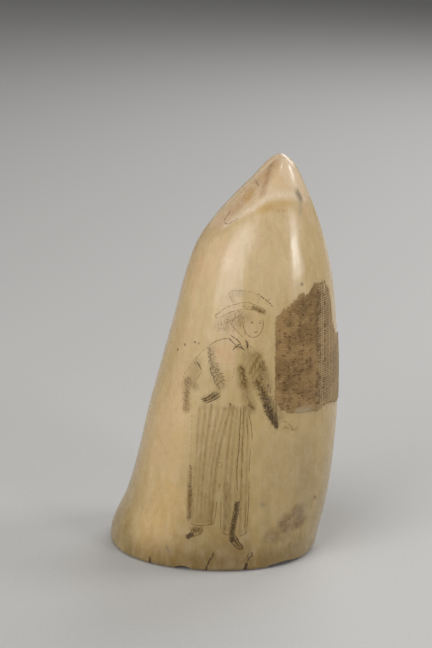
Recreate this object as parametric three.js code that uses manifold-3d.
// A sperm whale's tooth, standing on its sawn root, with an old cloth label glued to its side.
// Millimetres, +Z up. The engraved front faces -Y and the tip leans towards +X.
// The origin is on the floor, under the middle of the tooth's box.
import * as THREE from "three";
import { mergeVertices } from "three/addons/utils/BufferGeometryUtils.js";
import Module from "manifold-3d";

// The tooth's own height sets its form. Walls, wear and the label have sizes of their own.
const TOOTH_HEIGHT = 130;
const FOOT_EDGE_RADIUS = 1.8;
const TIP_RADIUS = 3.4;
const RIM_WALL = 9;
const PULP_DEPTH = 44;
const PULP_TIP_RADIUS = 2.5;

// The hollow scooped out of the upper left by years of rubbing against the other jaw.
const WEAR_HOLLOW_RADIUS = 92;
const WEAR_EDGE_SOFTNESS = 2.4;

// The label is a strip of cloth: its width runs round the tooth, its height up the tooth.
const LABEL_WIDTH = 31;
const LABEL_HEIGHT = 42;
const LABEL_THICKNESS = 0.4;
const LABEL_GLUE_GAP = 0.25;

// Places broken out of the foot's rim. The angle is seen from above, in degrees from +X.
const RIM_CHIPS = [
  { angle: 255, length: 5.8, depth: 3.4, height: 1.4 },
  { angle: 312, length: 14, depth: 4, height: 1.4 },
  { angle: 128, length: 7, depth: 3, height: 1.1 },
];

// How finely the smooth form is divided into flat faces.
const AROUND = 72;
const RINGS_UP = 34;
const RINGS_TIP = 5;
const RINGS_FOOT_EDGE = 4;
const RINGS_PULP = 8;
const RING_CROWDING = 1.2;
const LABEL_COLUMNS = 14;
const LABEL_ROWS = 14;
const CHIP_DETAIL = 2;
// The turn in degrees of each step taken round the tooth to measure a length there.
const MEASURING_STEP = 0.25;

// The form in shares of the height: how high, the left edge, the right edge, half the thickness.
// Edges are measured from the middle of the foot.
const FORM = [
  [0.0, -0.27, 0.251, 0.203],
  [0.04, -0.264, 0.259, 0.204],
  [0.12, -0.228, 0.277, 0.2],
  [0.22, -0.198, 0.291, 0.194],
  [0.35, -0.168, 0.301, 0.187],
  [0.48, -0.133, 0.302, 0.177],
  [0.6, -0.1, 0.295, 0.163],
  [0.7, -0.074, 0.284, 0.147],
  [0.78, -0.045, 0.267, 0.129],
  [0.84, -0.005, 0.249, 0.11],
  [0.9, 0.047, 0.226, 0.086],
  [0.95, 0.095, 0.204, 0.06],
  [1.0, 0.134, 0.176, 0.03],
];
// An exponent of 2 makes each section an ellipse, and a larger one squarer.
const SECTION_SQUARENESS = 2.1;
// How far each section leans forward for every millimetre to the right.
const SECTION_SKEW = 0.06;

// The worn hollow: a point on it in shares of the height, and the way it faces.
const WEAR_POINT = new THREE.Vector3(0.052, 0.001, 0.903);
const WEAR_FACING = new THREE.Vector3(-0.651, -0.338, 0.679).normalize();

// The label's place in shares of the tooth's height: its front edge's distance to the right of
// the foot's middle, and the height of its lowest corner.
const LABEL_FRONT = 0.1385;
const LABEL_FOOT = 0.385;
// Its two worn edges: share of its width from the front edge, share of its height.
const LABEL_TOP = [
  [0, 0.77],
  [0.13, 0.85],
  [0.22, 0.905],
  [0.32, 0.945],
  [0.42, 1],
  [0.6, 0.99],
  [0.67, 0.9],
  [0.7, 0.62],
  [0.78, 0.54],
  [1, 0.5],
];
const LABEL_BOTTOM = [
  [0, 0.22],
  [0.06, 0.12],
  [0.15, 0.06],
  [0.3, 0.035],
  [0.55, 0.02],
  [1, 0],
];

const formAt = new THREE.CubicInterpolant(
  FORM.map((row) => row[0]),
  FORM.flatMap((row) => row.slice(1)),
  3,
  [],
);

// The middle and the half sizes of the section at a height.
function section(z) {
  const share = THREE.MathUtils.clamp(z / TOOTH_HEIGHT, 0, 1);
  const [left, right, depth] = formAt.evaluate(share);
  const under = Math.max(0, 1 - (TOOTH_HEIGHT - z) / TIP_RADIUS);
  const dome = Math.sqrt(Math.max(0, 1 - under * under));
  return {
    middle: ((left + right) / 2) * TOOTH_HEIGHT,
    across: ((right - left) / 2) * TOOTH_HEIGHT * dome,
    deep: depth * TOOTH_HEIGHT * dome,
  };
}

// How far a ray from the middle of a section runs before it meets the worn hollow.
function reachOfWear(middle, z, direction) {
  const point = WEAR_POINT.clone().multiplyScalar(TOOTH_HEIGHT);
  const along = new THREE.Vector3(0, 1, 0).cross(WEAR_FACING).normalize();
  const start = new THREE.Vector3(middle, 0, z).sub(point).addScaledVector(WEAR_FACING, -WEAR_HOLLOW_RADIUS);
  const ray = new THREE.Vector3(direction.x, direction.y, 0);
  const from = start.clone().addScaledVector(along, -start.dot(along));
  const way = ray.clone().addScaledVector(along, -ray.dot(along));
  const a = way.lengthSq();
  const b = from.dot(way);
  const c = from.lengthSq() - WEAR_HOLLOW_RADIUS ** 2;
  const inside = b * b - a * c;
  if (c < 0 || inside < 0 || b > 0) return Infinity;
  return (-b - Math.sqrt(inside)) / a;
}

// The lesser of two lengths, with the corner between them eased.
function easedLesser(a, b, softness) {
  if (b - a > softness) return a;
  if (a - b > softness) return b;
  const h = (softness - Math.abs(a - b)) / softness;
  return Math.min(a, b) - (h * h * softness) / 4;
}

// A point of the tooth's surface at a height and an angle, moved out by an offset.
function toothPoint(angle, z, offset = 0) {
  const { middle, across, deep } = section(z);
  const power = 2 / SECTION_SQUARENESS;
  const cos = Math.cos(angle);
  const sin = Math.sin(angle);
  const x = Math.sign(cos) * Math.abs(cos) ** power * (across + offset);
  const y = Math.sign(sin) * Math.abs(sin) ** power * (deep + offset) - x * SECTION_SKEW;
  const reach = Math.hypot(x, y);
  if (reach === 0) return new THREE.Vector3(middle, 0, z);
  const direction = { x: x / reach, y: y / reach };
  const wear = reachOfWear(middle, z, direction);
  const kept = easedLesser(reach, wear + offset, Math.min(WEAR_EDGE_SOFTNESS, reach));
  return new THREE.Vector3(middle + direction.x * kept, direction.y * kept, z);
}

// The rings that make the tooth's skin: from the tip down the outside, in under the foot's
// rounded edge, across the sawn rim and up the pulp cavity. Each gives a point for an angle.
function skinRings() {
  const rings = [];
  for (let k = 0; k < RINGS_TIP; k += 1) {
    const z = TOOTH_HEIGHT - TIP_RADIUS * (1 - Math.cos((k / RINGS_TIP) * (Math.PI / 2)));
    rings.push((angle) => toothPoint(angle, z));
  }
  const top = TOOTH_HEIGHT - TIP_RADIUS;
  for (let k = 0; k < RINGS_UP; k += 1) {
    const z = top - (top - FOOT_EDGE_RADIUS) * (k / RINGS_UP) ** RING_CROWDING;
    rings.push((angle) => toothPoint(angle, z));
  }
  for (let k = 0; k <= RINGS_FOOT_EDGE; k += 1) {
    const turn = (k / RINGS_FOOT_EDGE) * (Math.PI / 2);
    const z = FOOT_EDGE_RADIUS * (1 - Math.sin(turn));
    const inset = FOOT_EDGE_RADIUS * (1 - Math.cos(turn));
    rings.push((angle) => toothPoint(angle, z, -inset));
  }
  for (let k = 0; k <= RINGS_PULP; k += 1) {
    const z = PULP_DEPTH * Math.sin((k / RINGS_PULP) * (Math.PI / 2));
    rings.push((angle) => pulpPoint(angle, z));
  }
  return rings;
}

// A point of the pulp cavity's wall: an oval at the foot that narrows to a blunt point.
function pulpPoint(angle, z) {
  const foot = section(0);
  const narrowing = 1 - z / PULP_DEPTH;
  const under = Math.max(0, 1 - (PULP_DEPTH - z) / PULP_TIP_RADIUS);
  const dome = Math.sqrt(Math.max(0, 1 - under * under));
  const across = (PULP_TIP_RADIUS + (foot.across - RIM_WALL - PULP_TIP_RADIUS) * narrowing) * dome;
  const deep = (PULP_TIP_RADIUS + (foot.deep - RIM_WALL - PULP_TIP_RADIUS) * narrowing) * dome;
  return new THREE.Vector3(section(z).middle + Math.cos(angle) * across, Math.sin(angle) * deep, z);
}

// A closed lathe shape with one profile point for each ring, pulled onto the rings.
function skinGeometry() {
  const rings = skinRings();
  const profile = rings.map((ring, k) => new THREE.Vector2(k % (rings.length - 1) ? 1 : 0, -k));
  const geometry = new THREE.LatheGeometry(profile, AROUND);
  const { position, uv } = geometry.attributes;
  for (let i = 0; i < position.count; i += 1) {
    const turn = Math.round(uv.getX(i) * AROUND) % AROUND;
    const ring = rings[Math.round(uv.getY(i) * (rings.length - 1))];
    const point = ring((-turn / AROUND) * 2 * Math.PI);
    position.setXYZ(i, point.x, point.y, point.z);
  }
  return geometry;
}

// A worn-off place in the foot's rim, as the ball-like shape that is taken away.
function chipGeometry({ angle, length, depth, height }) {
  const turn = THREE.MathUtils.degToRad(angle);
  const rim = toothPoint(turn, 0);
  return new THREE.IcosahedronGeometry(1, CHIP_DETAIL)
    .scale(depth, length / 2, height)
    .rotateZ(turn)
    .translate(rim.x, rim.y, 0);
}

// The angle reached by going a distance round the tooth from the label's front edge.
function angleRound(z, distance) {
  const step = THREE.MathUtils.degToRad(MEASURING_STEP);
  let angle = -Math.PI / 2;
  let point = toothPoint(angle, z);
  while (point.x < LABEL_FRONT * TOOTH_HEIGHT) {
    angle += step;
    point = toothPoint(angle, z);
  }
  for (let gone = 0; gone < distance; ) {
    angle += step;
    const next = toothPoint(angle, z);
    gone += next.distanceTo(point);
    point = next;
  }
  return angle;
}

// The height of one of the label's edges at a share of its width.
function edgeHeight(edge, share) {
  const k = Math.max(1, edge.findIndex(([at]) => at >= share));
  const [before, after] = [edge[k - 1], edge[k]];
  const up = THREE.MathUtils.mapLinear(share, before[0], after[0], before[1], after[1]);
  return LABEL_FOOT * TOOTH_HEIGHT + up * LABEL_HEIGHT;
}

// A flat box, one cell thick, bent round the tooth.
function labelGeometry() {
  const geometry = new THREE.BoxGeometry(1, 1, 1, LABEL_COLUMNS, LABEL_ROWS, 1);
  const { position } = geometry.attributes;
  for (let i = 0; i < position.count; i += 1) {
    const across = position.getX(i) + 0.5;
    const up = position.getY(i) + 0.5;
    const out = position.getZ(i) + 0.5;
    const bottom = edgeHeight(LABEL_BOTTOM, across);
    const z = bottom + up * (edgeHeight(LABEL_TOP, across) - bottom);
    const angle = angleRound(z, across * LABEL_WIDTH);
    const point = toothPoint(angle, z, LABEL_GLUE_GAP + out * LABEL_THICKNESS);
    position.setXYZ(i, point.x, point.y, point.z);
  }
  return geometry;
}

const wasm = await Module();
wasm.setup();

// A closed geometry as a solid that can be cut.
function solidOf(geometry) {
  const bare = geometry.clone();
  bare.deleteAttribute("normal");
  bare.deleteAttribute("uv");
  const merged = mergeVertices(bare, 1e-4);
  return new wasm.Manifold(
    new wasm.Mesh({
      numProp: 3,
      vertProperties: merged.attributes.position.array,
      triVerts: new Uint32Array(merged.index.array),
    }),
  );
}

// A solid's triangles as a geometry that can be shown.
function geometryOf(solid) {
  const { vertProperties, triVerts } = solid.getMesh();
  const geometry = new THREE.BufferGeometry();
  geometry.setAttribute("position", new THREE.BufferAttribute(vertProperties, 3));
  geometry.setIndex(new THREE.BufferAttribute(triVerts, 1));
  geometry.computeVertexNormals();
  return geometry;
}

// The tooth is one piece of ivory, with its picture left flat.
function makeTooth() {
  const whole = solidOf(skinGeometry());
  const chipped = RIM_CHIPS.reduce((left, chip) => left.subtract(solidOf(chipGeometry(chip))), whole);
  const ivory = new THREE.MeshStandardMaterial({ color: 0xd9c49a, roughness: 0.28, metalness: 0 });
  const tooth = new THREE.Mesh(geometryOf(chipped), ivory);
  tooth.name = "tooth";
  return tooth;
}

// The label is one thin piece of cloth, held a hair's breadth off by its glue.
function makeLabel() {
  const cloth = new THREE.MeshStandardMaterial({ color: 0x7a5f41, roughness: 0.9, metalness: 0 });
  const label = new THREE.Mesh(geometryOf(solidOf(labelGeometry())), cloth);
  label.name = "cloth_label";
  return label;
}

// The tooth's middle is brought over the origin.
const group = new THREE.Group();
const tooth = makeTooth();
tooth.geometry.computeBoundingBox();
const middle = tooth.geometry.boundingBox.getCenter(new THREE.Vector3());
for (const piece of [tooth, makeLabel()]) {
  piece.position.set(-middle.x, -middle.y, 0);
  group.add(piece);
}

export default group;
